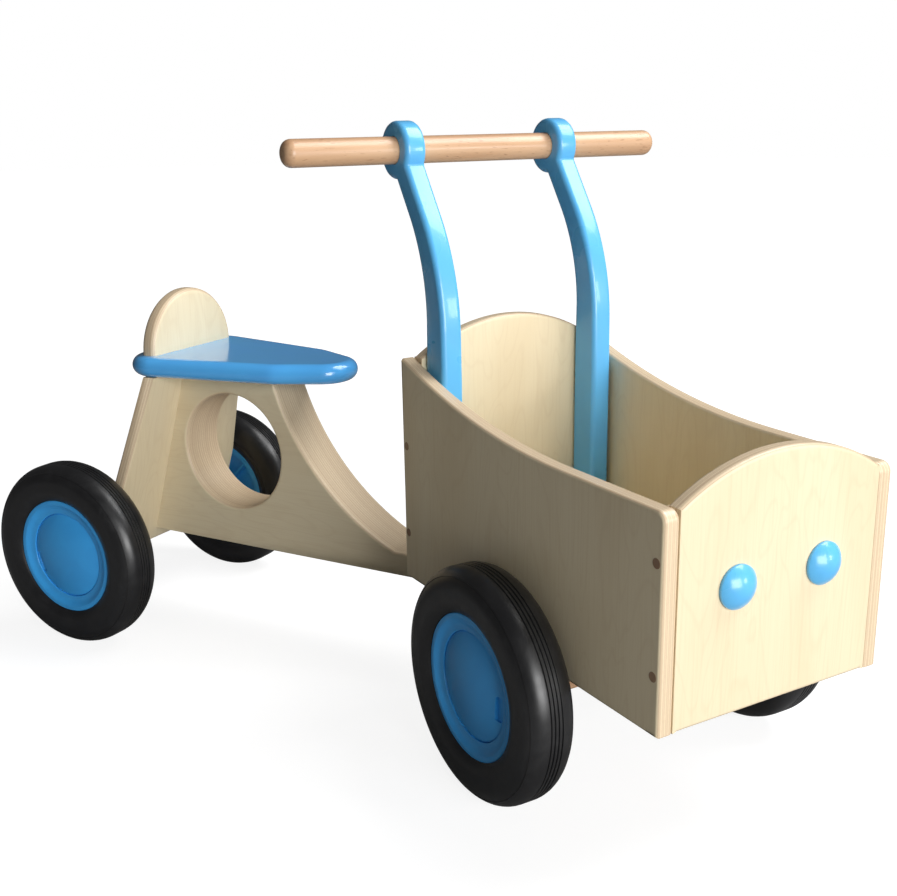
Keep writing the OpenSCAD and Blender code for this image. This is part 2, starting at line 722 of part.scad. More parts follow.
in_frame() main_panel();
in_frame() kingpin_bush();
in_frame() thrust_washer();
in_frame() rear_board();
in_frame() board_screws();
in_frame() seat();
in_frame() seat_dowels();
in_frame() backrest();
in_frame() backrest_dowels();
in_frame() rear_axle_block();
in_frame() rear_block_screws();
on_rear_axle() axle(rear_axle_half);  // rear_axle
on_rear_axle() axle_washers(rear_half_track, rear_block_half);  // rear_axle_washers
on_rear_axle() axle_nuts(rear_half_track);  // rear_axle_nuts
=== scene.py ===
"""Looks of a child's wooden cargo cycle, in metres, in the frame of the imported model.

A plywood box on two wheels steers under a painted handle, ahead of a painted seat on a plywood frame.
Boards take their outlines from the CAD pieces and get routed edges, and turned parts are swept round."""

import json
import math

import bmesh
import bpy
from mathutils import Matrix, Vector
from mathutils.geometry import convex_hull_2d, tessellate_polygon


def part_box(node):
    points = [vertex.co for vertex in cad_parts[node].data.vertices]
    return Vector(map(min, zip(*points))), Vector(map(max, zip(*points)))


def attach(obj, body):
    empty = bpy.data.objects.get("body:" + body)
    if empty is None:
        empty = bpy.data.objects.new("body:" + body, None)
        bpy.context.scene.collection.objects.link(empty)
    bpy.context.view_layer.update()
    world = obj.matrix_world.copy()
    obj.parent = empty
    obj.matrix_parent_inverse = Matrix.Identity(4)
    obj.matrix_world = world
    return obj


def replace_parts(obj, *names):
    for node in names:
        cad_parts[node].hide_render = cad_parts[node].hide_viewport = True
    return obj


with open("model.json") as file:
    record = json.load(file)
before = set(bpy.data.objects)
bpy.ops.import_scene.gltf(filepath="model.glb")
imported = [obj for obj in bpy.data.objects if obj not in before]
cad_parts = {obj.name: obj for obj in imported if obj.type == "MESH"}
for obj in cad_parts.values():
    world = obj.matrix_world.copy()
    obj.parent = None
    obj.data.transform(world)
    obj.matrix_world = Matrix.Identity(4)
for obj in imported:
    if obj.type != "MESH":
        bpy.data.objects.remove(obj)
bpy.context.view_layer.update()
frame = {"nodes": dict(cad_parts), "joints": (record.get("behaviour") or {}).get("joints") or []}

MM = 0.001
SAME = 0.01 * MM
GUIDE = 1.0  # radius of the circle that a profile is swept round
ROUND = 96  # facets round a turned part
PAST_CAP = 60 * MM  # clear of a cap's face
SHARP = math.radians(35)  # edges that turn more than this stay crisp
SIDES = ("right", "left")
WHEELS = ("front_right", "front_left", "rear_right", "rear_left")


# Places
def turned(degrees, axis):
    return Matrix.Rotation(math.radians(degrees), 4, axis)


def moved(x=0, y=0, z=0):
    return Matrix.Translation((x, y, z))


joints = {joint["name"]: joint for joint in frame["joints"]}
kingpin = Vector(joints["steering"]["pos_m"])
rear_axle_way = Vector(joints["rear_left_spin"]["axis"])
frame_turn = math.degrees(math.atan2(-rear_axle_way.x, rear_axle_way.y))
panel_low, panel_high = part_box("front_panel")

SIDEWAYS = turned(90, "X")  # local z runs across a board that stands along the box
CROSSWAYS = turned(90, "Z") @ turned(90, "X")  # local z runs forwards through a board across it
BOX_AT = moved(panel_high.x, (panel_low.y + panel_high.y) / 2)
FRAME_AT = moved(kingpin.x, kingpin.y) @ turned(frame_turn, "Z")
BOARD_LEAN = 17.4
BOARD_AT = FRAME_AT @ turned(BOARD_LEAN, "Y") @ CROSSWAYS


# Node trees, for shapes and for looks
def put(tree, kind, inputs=(), **settings):
    """Adds a node. An input given as a socket is linked, and any other value is set."""
    node = tree.nodes.new(kind)
    for key, value in settings.items():
        setattr(node, key, value)
    for key, value in dict(inputs).items():
        if isinstance(value, bpy.types.NodeSocket):
            tree.links.new(value, node.inputs[key])
        else:
            node.inputs[key].default_value = value
    return node


def work_out(tree, operation, *values):
    node = put(tree, "ShaderNodeMath", dict(enumerate(values)), operation=operation)
    return node.outputs[0]


def new_tree(name, **sizes):
    """Starts a Geometry Nodes tree with a geometry input, named sizes and a finish."""
    tree = bpy.data.node_groups.new(name, "GeometryNodeTree")
    kinds = {int: "NodeSocketInt", float: "NodeSocketFloat", str: "NodeSocketObject"}
    tree.interface.new_socket("Geometry", in_out="INPUT", socket_type="NodeSocketGeometry")
    for label, value in sizes.items():
        label = label.replace("_", " ").capitalize()
        socket = tree.interface.new_socket(label, in_out="INPUT", socket_type=kinds[type(value)])
        if not isinstance(value, str):
            socket.default_value = value
    tree.interface.new_socket("Finish", in_out="INPUT", socket_type="NodeSocketMaterial")
    tree.interface.new_socket("Geometry", in_out="OUTPUT", socket_type="NodeSocketGeometry")
    return tree, tree.nodes.new("NodeGroupInput").outputs


def close_tree(tree, given, geometry):
    """Ends a tree with plain geometry in its finish."""
    real = put(tree, "GeometryNodeRealizeInstances", {"Geometry": geometry})
    covered = {"Geometry": real.outputs[0], "Material": given["Finish"]}
    finish = put(tree, "GeometryNodeSetMaterial", covered)
    put(tree, "NodeGroupOutput", {"Geometry": finish.outputs[0]})
    return tree


def plain_mesh(thing):
    """The mesh that an object's modifiers make."""
    graph = bpy.context.evaluated_depsgraph_get()
    return bpy.data.meshes.new_from_object(
        thing.evaluated_get(graph), preserve_all_data_layers=True, depsgraph=graph
    )


def grown(tree, mesh, look, **sizes):
    """Runs a tree on a mesh with the sizes given by name, and gives the plain mesh."""
    seed = bpy.data.objects.new("seed", mesh)
    bpy.context.scene.collection.objects.link(seed)
    nodes = seed.modifiers.new("Grow", "NODES")
    nodes.node_group = tree
    values = {label.replace("_", " ").capitalize(): value for label, value in sizes.items()}
    values["Finish"] = look
    for socket in tree.interface.items_tree:
        if socket.in_out == "INPUT" and socket.name in values:
            nodes[socket.identifier] = values[socket.name]
    made = plain_mesh(seed)
    bpy.data.objects.remove(seed)
    return made


def swept_round(tree, profile, facets):
    """Adds the nodes that sweep a profile, x out and y along the axis, round a circle."""
    line = put(tree, "GeometryNodeMeshToCurve", {"Mesh": profile})
    circle = put(tree, "GeometryNodeCurvePrimitiveCircle", {"Resolution": facets, "Radius": GUIDE})
    swept = put(
        tree, "GeometryNodeCurveToMesh", {"Curve": circle.outputs[0], "Profile Curve": line.outputs[0]}
    )
    merged = put(tree, "GeometryNodeMergeByDistance", {"Geometry": swept.outputs[0], "Distance": SAME})
    return merged.outputs[0]


def turned_part_tree():
    """A profile swept round an axis."""
    tree, given = new_tree("Turned part", facets=ROUND)
    return close_tree(tree, given, swept_round(tree, given["Geometry"], given["Facets"]))


def slotted_cap_tree():
    """A turned cap with a slot for a coin near its edge, on the +X side."""
    tree, given = new_tree(
        "Slotted cap",
        facets=ROUND,
        slot_length=19 * MM,
        slot_width=6.5 * MM,
        slot_out=34.6 * MM,
        slot_floor=30.4 * MM,
        corner=2 * MM,
    )
    cap = swept_round(tree, given["Geometry"], given["Facets"])
    slot = put(
        tree,
        "GeometryNodeCurvePrimitiveQuadrilateral",
        {"Width": given["Slot width"], "Height": given["Slot length"]},
    )
    soft = put(
        tree,
        "GeometryNodeFilletCurve",
        {"Curve": slot.outputs[0], "Radius": given["Corner"], "Limit Radius": True, "Count": 4},
        mode="POLY",
    )
    reach = put(tree, "ShaderNodeCombineXYZ", {"X": given["Slot out"], "Z": given["Slot floor"]})
    far = put(tree, "ShaderNodeCombineXYZ", {"X": given["Slot out"], "Z": PAST_CAP})
    ends = {"Start": reach.outputs[0], "End": far.outputs[0]}
    line = put(tree, "GeometryNodeCurvePrimitiveLine", ends)
    cutter = put(
        tree,
        "GeometryNodeCurveToMesh",
        {"Curve": line.outputs[0], "Profile Curve": soft.outputs[0], "Fill Caps": True},
    )
    cut = put(tree, "GeometryNodeMeshBoolean", {"Mesh 1": cap}, operation="DIFFERENCE", solver="EXACT")
    tree.links.new(cutter.outputs[0], cut.inputs["Mesh 2"])
    return close_tree(tree, given, cut.outputs[0])


def ribs_tree():
    """Straight ribs that run out from an axis, like spokes."""
    tree, given = new_tree(
        "Ribs", count=8, inner_radius=12 * MM, outer_radius=48 * MM, thickness=2.4 * MM, depth=8 * MM
    )
    length = work_out(tree, "SUBTRACT", given["Outer radius"], given["Inner radius"])
    both = work_out(tree, "ADD", given["Outer radius"], given["Inner radius"])
    middle = work_out(tree, "MULTIPLY", both, 0.5)
    sizes = {"X": length, "Y": given["Thickness"], "Z": given["Depth"]}
    size = put(tree, "ShaderNodeCombineXYZ", sizes)
    rib = put(tree, "GeometryNodeMeshCube", {"Size": size.outputs[0]})
    ring = put(tree, "GeometryNodeMeshCircle", {"Vertices": given["Count"], "Radius": middle})
    place = put(tree, "GeometryNodeInputPosition").outputs[0]
    outwards = put(tree, "FunctionNodeAlignRotationToVector", {"Vector": place}, axis="X")
    ribs = put(
        tree,
        "GeometryNodeInstanceOnPoints",
        {"Points": ring.outputs[0], "Instance": rib.outputs[0], "Rotation": outwards.outputs[0]},
    )
    return close_tree(tree, given, ribs.outputs[0])


def fixings_tree():
    """Copies of one fixing on points, each turned to face the way its point says."""
    tree, given = new_tree("Fixings", shape="object")
    shape = put(tree, "GeometryNodeObjectInfo", {"Object": given["Shape"]})
    way = put(tree, "GeometryNodeInputNamedAttribute", {"Name": "way"}, data_type="FLOAT_VECTOR")
    facing = put(tree, "FunctionNodeAlignRotationToVector", {"Vector": way.outputs[0]}, axis="Z")
    copies = {"Points": given["Geometry"], "Instance": shape.outputs["Geometry"]}
    copies["Rotation"] = facing.outputs[0]
    placed = put(tree, "GeometryNodeInstanceOnPoints", copies)
    return close_tree(tree, given, placed.outputs[0])


# Outlines
def neighbours(loop):
    """Each point with the one before it and the one after it."""
    return zip(loop[-1:] + loop[:-1], loop, loop[1:] + loop[:1])


def turn_at(before, here, after):
    """The angle that a line turns by at a point."""
    first, second = here - before, after - here
    return math.atan2(first.x * second.y - first.y * second.x, first.dot(second))


def area(loop):
    return sum(here.x * after.y - here.y * after.x for _, here, after in neighbours(loop)) / 2


def joined_up(edges):
    """Closed loops of points from loose edges."""
    touching = {}
    for edge in edges:
        for vert in edge.verts:
            touching.setdefault(vert, []).append(edge)
    left, loops = dict.fromkeys(edges), []
    while left:
        edge = next(iter(left))
        del left[edge]
        loop, vert = [edge.verts[0]], edge.verts[1]
        while vert is not loop[0]:
            loop.append(vert)
            edge = next(other for other in touching[vert] if other in left)
            del left[edge]
            vert = edge.other_vert(vert)
        loops.append([vert.co.xy for vert in loop])
    return loops


def cad_shape(node, at):
    """A merged copy of a CAD node in the local axes of at."""
    shape = bmesh.new()
    shape.from_mesh(frame["nodes"][node].data)
    shape.transform(at.inverted())
    bmesh.ops.remove_doubles(shape, verts=shape.verts, dist=SAME)
    return shape


def board_outlines(node, at, smallest=12 * MM):
    """The outlines of a flat CAD piece, outer one first, and its low and high face along local z."""
    shape = cad_shape(node, at)
    heights = [vert.co.z for vert in shape.verts]
    low, high = min(heights), max(heights)
    flat = {face for face in shape.faces if all(vert.co.z > high - SAME for vert in face.verts)}
    border = [edge for edge in shape.edges if len(flat.intersection(edge.link_faces)) == 1]
    loops = [loop for loop in joined_up(border) if abs(area(loop)) > smallest**2]
    shape.free()
    loops.sort(key=lambda loop: -abs(area(loop)))
    ways = [1] + [-1] * (len(loops) - 1)
    return [loop if area(loop) * way > 0 else loop[::-1] for loop, way in zip(loops, ways)], low, high


def softened(loop, radius, steps=4):
    """The loop with each sharp corner drawn as a curve, and points on straight lines left out."""
    out = []
    for before, here, after in neighbours(loop):
        turn = abs(turn_at(before, here, after))
        if turn < math.radians(20) or not radius:
            if turn > 1e-4:
                out.append(here)
            continue
        reach = min(radius * math.tan(turn / 2), (here - before).length / 2, (after - here).length / 2)
        start = here + (before - here).normalized() * reach
        stop = here + (after - here).normalized() * reach
        for step in range(steps + 1):
            part = step / steps
            out.append(start.lerp(here, part).lerp(here.lerp(stop, part), part))
    return out


def inward_ways(loop):
    """At each point, the way into the wood, longer at corners so that an inset stays parallel."""
    ways = []
    for before, here, after in neighbours(loop):
        first, second = (here - before).normalized(), (after - here).normalized()
        total = Vector((-first.y - second.y, first.x + second.x))
        ways.append(total / (1 + first.dot(second)))
    return ways


# Shapes
def routed_board(loops, low, high, edge, steps=4):
    """A board with rounded edges on both faces. Edge is a radius, or a rule that gives it at a point."""
    shape = bmesh.new()
    bends = [math.pi / 2 * step / steps for step in range(steps + 1)]
    levels = [(low, 1, bend) for bend in reversed(bends)] + [(high, -1, bend) for bend in bends]
    faces = ([], [])
    for loop in loops:
        radii = [edge(point) if callable(edge) else edge for point in loop]
        corners = list(zip(loop, inward_ways(loop), radii))
        rings = []
        for level, side, bend in levels:
            inset, rise = 1 - math.cos(bend), side * (1 - math.sin(bend))
            ring = []
            for point, way, radius in corners:
                inner = point + way * radius * inset
                ring.append(shape.verts.new((inner.x, inner.y, level + rise * radius)))
            rings.append(ring)
        for lower, upper in zip(rings, rings[1:]):
            for a, b, c, d in zip(lower, lower[1:] + lower[:1], upper[1:] + upper[:1], upper):
                shape.faces.new((a, b, c, d))
        faces[0].append(rings[0])
        faces[1].append(rings[-1])
    for rings in faces:
        verts = [vert for ring in rings for vert in ring]
        for corners in tessellate_polygon([[vert.co for vert in ring] for ring in rings]):
            shape.faces.new([verts[corner] for corner in corners])
    bmesh.ops.remove_doubles(shape, verts=shape.verts, dist=SAME / 10)
    bmesh.ops.recalc_face_normals(shape, faces=shape.faces)
    return shape


def profile_mesh(points, closed):
    """A profile of (radius, along) points as loose edges for a tree to sweep."""
    mesh = bpy.data.meshes.new("profile")
    edges = [(i, i + 1) for i in range(len(points) - 1)]
    if closed:
        edges.append((len(points) - 1, 0))
    mesh.from_pydata([(radius - GUIDE, -along, 0) for radius, along in points], edges, [])
    return mesh


def as_shape(mesh):
    """A mesh as a shape whose faces all look outwards."""
    shape = bmesh.new()
    shape.from_mesh(mesh)
    bmesh.ops.recalc_face_normals(shape, faces=shape.faces)
    return shape


def add_shape(shape, other):
    """Puts another shape into a shape and uses it up."""
    mesh = bpy.data.meshes.new("part")
    other.to_mesh(mesh)
    other.free()
    shape.from_mesh(mesh)
    bmesh.ops.recalc_face_normals(shape, faces=shape.faces)


def turned_part(points, look, closed=False, facets=ROUND):
    """A shape swept round from a profile, which is closed or has both its ends on the axis."""
    return as_shape(grown(TURNED_PART, profile_mesh(points, closed), look, facets=facets))


def arc(centre, radius, start, stop, steps):
    """Points of an arc round (radius, along), with angles in degrees from the outward way."""
    angles = [math.radians(start + (stop - start) * step / steps) for step in range(steps + 1)]
    return [(centre[0] + radius * math.cos(a), centre[1] + radius * math.sin(a)) for a in angles]


def in_mm(*points):
    return [(radius * MM, along * MM) for radius, along in points]


def piece(name, shape, at, look, body, slot, nodes):
    """Puts a shape in its place, shades it cleanly and lets it stand for CAD nodes on a body."""
    shape.transform(at)
    mesh = bpy.data.meshes.new(name)
    shape.to_mesh(mesh)
    shape.free()
    mesh.shade_smooth()
    mesh.set_sharp_from_angle(angle=SHARP)
    draft = bpy.data.objects.new(name + "_draft", mesh)
    bpy.context.scene.collection.objects.link(draft)
    weighted = draft.modifiers.new("Flat faces stay flat", "WEIGHTED_NORMAL")
    weighted.keep_sharp = True
    made = bpy.data.objects.new(name, plain_mesh(draft))
    bpy.data.objects.remove(draft)
    made.data.materials.clear()
    made.data.materials.append(look)
    bpy.context.scene.collection.objects.link(made)
    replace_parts(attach(made, body), *nodes)
    return made


# Looks
def new_look(name, **settings):
    """A material whose settings that are the same all over stand on the shader's own sockets."""
    look = bpy.data.materials.new(name)
    look.use_nodes = True
    shader = look.node_tree.nodes["Principled BSDF"]
    for label, value in settings.items():
        shader.inputs[label.replace("_", " ").title().replace("Ior", "IOR")].default_value = value
    return look, look.node_tree, shader


def local_place(tree, at):
    """Object coordinates, turned and moved into the local axes of a piece."""
    place = put(tree, "ShaderNodeTexCoord").outputs["Object"]
    back = at.inverted()
    mapping = {"Vector": place, "Location": back.translation, "Rotation": back.to_euler()}
    return put(tree, "ShaderNodeMapping", mapping).outputs[0]


def noise(tree, place, stretch, detail=3.0, roughness=0.55, twist=0.0, seed=0.0):
    """Noise with its own number of cells to the metre along each local axis."""
    scaled = put(tree, "ShaderNodeMapping", {"Vector": place, "Scale": stretch, "Location": (seed,) * 3})
    settings = {"Vector": scaled.outputs[0], "Scale": 1.0, "Detail": detail}
    settings.update({"Roughness": roughness, "Distortion": twist})
    return put(tree, "ShaderNodeTexNoise", settings).outputs[0]


def between(tree, value, low, high, to_low=0.0, to_high=1.0):
    """A value's share of the way from low to high, eased at both ends."""
    settings = {"Value": value, "From Min": low, "From Max": high, "To Min": to_low, "To Max": to_high}
    return put(tree, "ShaderNodeMapRange", settings, interpolation_type="SMOOTHSTEP").outputs[0]


def mixed(tree, amount, first, second):
    """Two colours mixed by an amount."""
    colours = [(*c, 1) if isinstance(c, tuple) else c for c in (first, second)]
    settings = {0: amount, 6: colours[0], 7: colours[1]}
    return put(tree, "ShaderNodeMix", settings, data_type="RGBA").outputs[2]


def raised(tree, shader, height, distance, strength=1.0):
    """Bumps up the surface by a height from 0 to 1."""
    settings = {"Height": height, "Distance": distance, "Strength": strength}
    tree.links.new(put(tree, "ShaderNodeBump", settings).outputs[0], shader.inputs["Normal"])


BIRCH_PALE, BIRCH_TAN, BIRCH_LINE = (0.80, 0.69, 0.475), (0.72, 0.59, 0.38), (0.60, 0.45, 0.27)
PLY_LONG, PLY_END, PLY_GLUE = (0.80, 0.66, 0.46), (0.64, 0.48, 0.31), (0.36, 0.21, 0.12)
BEECH_PALE, BEECH_TAN, BEECH_FLECK = (0.66, 0.42, 0.25), (0.54, 0.31, 0.17), (0.30, 0.14, 0.07)
VENEER = 0.7 * MM
PLY = 1.4 * MM
SPARE_LAYERS = 40  # keeps the count of layers above nought


def birch_face(tree, place, grain, seed):
    """Colour and height of rotary-cut birch, with its grain along local x or y."""
    along, across = ((0, 1), (1, 0))[grain == "y"]
    fine, wide, wave = [0, 0, 300], [0, 0, 4], [0, 0, 8]
    fine[along], fine[across] = 14, 620
    wide[along], wide[across] = 2.2, 14
    wave[along], wave[across] = 5, 24
    streaks = noise(tree, place, fine, 4.0, 0.65, 0.1, seed)
    tone = noise(tree, place, wide, 2.0, 0.5, 0.8, seed + 3)
    figure = noise(tree, place, wave, 1.5, 0.45, 1.4, seed + 7)
    rings = work_out(tree, "PINGPONG", work_out(tree, "MULTIPLY", figure, 9.0), 0.5)
    line = between(tree, rings, 0.3, 0.5, 0.0, 0.13)
    colour = mixed(tree, between(tree, tone, 0.35, 0.75, 0.0, 0.75), BIRCH_PALE, BIRCH_TAN)
    colour = mixed(tree, between(tree, streaks, 0.42, 0.8, 0.0, 0.55), colour, BIRCH_TAN)
    return mixed(tree, line, colour, BIRCH_LINE), streaks


def ply_edge(tree, place, depth, seed):
    """Colour and height of plywood's edge, from the depth through its layers."""
    count = work_out(tree, "DIVIDE", depth, PLY)
    layer = work_out(tree, "FLOOR", count)
    part = work_out(tree, "SUBTRACT", count, layer)
    odd = work_out(tree, "PINGPONG", layer, 1.0)
    layer_seed = {"W": work_out(tree, "ADD", layer, seed)}
    chance = put(tree, "ShaderNodeTexWhiteNoise", layer_seed, noise_dimensions="1D")
    tone = work_out(tree, "MULTIPLY_ADD", chance.outputs[0], 0.5, work_out(tree, "MULTIPLY", odd, 0.5))
    pores = noise(tree, place, (330, 330, 1400), 3.0, 0.6, 0.0, seed)
    colour = mixed(tree, tone, PLY_LONG, PLY_END)
    colour = mixed(tree, between(tree, pores, 0.4, 0.8, 0.0, 0.45), colour, PLY_END)
    seam = work_out(tree, "ABSOLUTE", work_out(tree, "SUBTRACT", part, 0.5))
    glue = between(tree, seam, 0.4, 0.49, 0.0, 0.6)
    return mixed(tree, glue, colour, PLY_GLUE), pores


def plywood_look(name, at, thickness, grain="y", seed=0.0):
    """Lacquered birch plywood: face grain on both faces, and its layers wherever an edge is cut."""
    look, tree, shader = new_look(name, roughness=0.5, coat_weight=0.25, coat_roughness=0.22)
    place = local_place(tree, at)
    across = put(tree, "ShaderNodeSeparateXYZ", {"Vector": place}).outputs["Z"]
    face, streaks = birch_face(tree, place, grain, seed)
    depth = work_out(tree, "ADD", across, thickness / 2 + SPARE_LAYERS * PLY)
    edge, pores = ply_edge(tree, place, depth, seed)
    deep = work_out(tree, "ABSOLUTE", across)
    inside = between(tree, deep, thickness / 2 - VENEER, thickness / 2 - 0.6 * VENEER, 1.0, 0.0)
    tree.links.new(mixed(tree, inside, face, edge), shader.inputs["Base Color"])
    height = mixed(tree, inside, streaks, pores)
    raised(tree, shader, height, 0.06 * MM, 0.5)
    rough = between(tree, streaks, 0.3, 0.8, 0.42, 0.58)
    tree.links.new(rough, shader.inputs["Roughness"])
    return look


def beech_look(name, at, seed=0.0, shade=1.0):
    """Lacquered solid beech with its grain along local z and its short dark flecks."""
    look, tree, shader = new_look(name, roughness=0.42, coat_weight=0.3, coat_roughness=0.2)
    place = local_place(tree, at)
    tone = noise(tree, place, (60, 60, 5), 2.0, 0.5, 0.6, seed)
    grain = noise(tree, place, (420, 420, 16), 4.0, 0.6, 0.2, seed + 2)
    flecks = noise(tree, place, (900, 900, 130), 1.0, 0.4, 0.0, seed + 5)
    colours = (BEECH_PALE, BEECH_TAN, BEECH_FLECK)
    pale, tan, fleck = [tuple(part * shade for part in colour) for colour in colours]
    colour = mixed(tree, between(tree, tone, 0.3, 0.7), pale, tan)
    colour = mixed(tree, between(tree, grain, 0.45, 0.85, 0.0, 0.5), colour, tan)
    colour = mixed(tree, between(tree, flecks, 0.66, 0.74, 0.0, 0.55), colour, fleck)
    tree.links.new(colour, shader.inputs["Base Color"])
    tree.links.new(between(tree, grain, 0.3, 0.8, 0.34, 0.5), shader.inputs["Roughness"])
    raised(tree, shader, grain, 0.05 * MM, 0.5)
    return look


def paint_look(name, colour, deep, roughness, coat, seed=0.0):
    """Sprayed gloss paint on wood: a faint cloudiness, and the ripple that spraying leaves."""
    look, tree, shader = new_look(name, coat_weight=coat, coat_roughness=0.06)
    place = put(tree, "ShaderNodeTexCoord").outputs["Object"]
    cloud = noise(tree, place, (26, 26, 26), 2.0, 0.5, 0.3, seed)
    ripple = noise(tree, place, (210, 210, 210), 2.0, 0.5, 0.0, seed + 4)
    speck = noise(tree, place, (1600, 1600, 1600), 1.0, 0.5, 0.0, seed + 6)
    tone = mixed(tree, between(tree, cloud, 0.3, 0.7), colour, deep)
    tree.links.new(tone, shader.inputs["Base Color"])
    rough = between(tree, cloud, 0.3, 0.7, roughness * 0.85, roughness * 1.15)
    tree.links.new(rough, shader.inputs["Roughness"])
    height = work_out(tree, "MULTIPLY_ADD", speck, 0.12, ripple)
    raised(tree, shader, height, 0.05 * MM, 0.35)
    return look


def plastic_look():
    """Moulded plastic with a fine grain and slightly paler flow marks."""
    look, tree, shader = new_look("Hub plastic", coat_weight=0.15, coat_roughness=0.2)
    place = put(tree, "ShaderNodeTexCoord").outputs["Object"]
    flow = noise(tree, place, (34, 34, 34), 2.0, 0.5, 1.0)
    grain = noise(tree, place, (2600, 2600, 2600), 1.0, 0.5)
    colour = mixed(tree, between(tree, flow, 0.3, 0.75), HUB_DEEP, HUB_BLUE)
    tree.links.new(colour, shader.inputs["Base Color"])
    tree.links.new(between(tree, flow, 0.3, 0.7, 0.3, 0.4), shader.inputs["Roughness"])
    raised(tree, shader, grain, 0.02 * MM, 0.5)
    return look


def rubber_look():
    """Black rubber, a little dusty and dull in patches."""
    look, tree, shader = new_look("Tyre rubber", specular_ior_level=0.6)
    place = put(tree, "ShaderNodeTexCoord").outputs["Object"]
    dust = noise(tree, place, (60, 60, 60), 4.0, 0.6, 0.5)
    skin = noise(tree, place, (1500, 1500, 1500), 2.0, 0.6)
    colour = mixed(tree, between(tree, dust, 0.45, 0.85), RUBBER, RUBBER_DUST)
    tree.links.new(colour, shader.inputs["Base Color"])
    tree.links.new(between(tree, dust, 0.3, 0.8, 0.32, 0.46), shader.inputs["Roughness"])
    raised(tree, shader, skin, 0.03 * MM, 0.4)
    return look


def steel_look():
    """Zinc-plated steel with fine scratches."""
    look, tree, shader = new_look("Zinc-plated steel", metallic=1.0)
    place = put(tree, "ShaderNodeTexCoord").outputs["Object"]
    scratches = noise(tree, place, (900, 120, 2400), 3.0, 0.6)
    patch = noise(tree, place, (90, 90, 90), 2.0, 0.5)
    colour = mixed(tree, patch, ZINC, ZINC_DULL)
    tree.links.new(colour, shader.inputs["Base Color"])
    tree.links.new(between(tree, scratches, 0.2, 0.8, 0.2, 0.42), shader.inputs["Roughness"])
    raised(tree, shader, scratches, 0.02 * MM, 0.3)
    return look


def nylon_look():
    """Milky nylon."""
    look, tree, shader = new_look("Natural nylon", subsurface_weight=0.1, subsurface_scale=2 * MM)
    place = put(tree, "ShaderNodeTexCoord").outputs["Object"]
    cloud = noise(tree, place, (150, 150, 150), 2.0, 0.5)
    colour = mixed(tree, cloud, NYLON, NYLON_DEEP)
    tree.links.new(colour, shader.inputs["Base Color"])
    tree.links.new(between(tree, cloud, 0.3, 0.7, 0.4, 0.55), shader.inputs["Roughness"])
    raised(tree, shader, cloud, 0.03 * MM, 0.3)
    return look


SKY, SKY_DEEP = (0.12, 0.49, 0.86), (0.11, 0.455, 0.83)
AZURE, AZURE_DEEP = (0.10, 0.49, 1.0), (0.095, 0.46, 0.98)
HUB_BLUE, HUB_DEEP = (0.05, 0.42, 0.91), (0.045, 0.38, 0.86)
RUBBER, RUBBER_DUST = (0.011, 0.011, 0.012), (0.02, 0.02, 0.021)
ZINC, ZINC_DULL = (0.62, 0.63, 0.65), (0.5, 0.5, 0.5)
NYLON, NYLON_DEEP = (0.82, 0.81, 0.76), (0.7, 0.69, 0.63)

TURNED_PART = turned_part_tree()
SLOTTED_CAP = slotted_cap_tree()
RIBS = ribs_tree()
FIXINGS = fixings_tree()

sky_paint = paint_look("Sky-blue paint", SKY, SKY_DEEP, 0.3, 0.35)
seat_paint = paint_look("Azure seat paint", AZURE, AZURE_DEEP, 0.22, 0.8, 2.0)
hub_plastic = plastic_look()
rubber = rubber_look()
steel = steel_look()
nylon = nylon_look()
bar_beech = beech_look("Beech handlebar", BOX_AT @ turned(-90, "X"))
plug_beech = beech_look("Beech plugs", BOX_AT, 4.0, 0.55)


# Boards
def routed_piece(
    name, node, at, body, edge, corner=1 * MM, grain="y", seed=0.0, look=None, slot="birch_ply"
):
    """A board cut to a CAD piece's outline, with routed edges."""
    loops, low, high = board_outlines(node, at)
    shape = routed_board([softened(loop, corner) for loop in loops], low, high, edge)
    if look is None:
        middle = at @ moved(z=(low + high) / 2)
        look = plywood_look(name.replace("_", " ").capitalize(), middle, high - low, grain, seed=seed)
    return piece(name, shape, at, look, body, slot, [node])


def box_boards():
    """The box. Its arched front and back keep square edges where they meet the sides."""
    joint = panel_high.y - BOX_AT.translation.y

    def arched(point):
        return 0.4 * MM if abs(point.x) > joint - SAME else 3 * MM

    for side, seed in (("right", 1.0), ("left", 9.0)):
        routed_piece(
            "box_side_" + side, "side_panel_" + side, BOX_AT @ SIDEWAYS, "cargo_box", 2.4 * MM, seed=seed
        )
    for name, node, seed in (("box_front", "front_panel", 17.0), ("box_back", "rear_panel", 23.0)):
        routed_piece(name, node, BOX_AT @ CROSSWAYS, "cargo_box", arched, 0.4 * MM, seed=seed)
    routed_piece("box_floor", "floor_panel", BOX_AT, "cargo_box", 0.5 * MM, 0.5 * MM, "x", 31.0)


def handle_arms():
    """Both arms, well rounded except where the bar goes through."""
    at = BOX_AT @ SIDEWAYS
    low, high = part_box("handlebar")
    eye = (at.inverted() @ ((low + high) / 2)).xy

    def arm_edge(point):
        return 0.8 * MM if (point - eye).length < 12 * MM else 4 * MM

    for side in SIDES:
        finish = {"look": sky_paint, "slot": "sky_paint"}
        routed_piece("arm_" + side, "handle_arm_" + side, at, "cargo_box", arm_edge, 2 * MM, **finish)


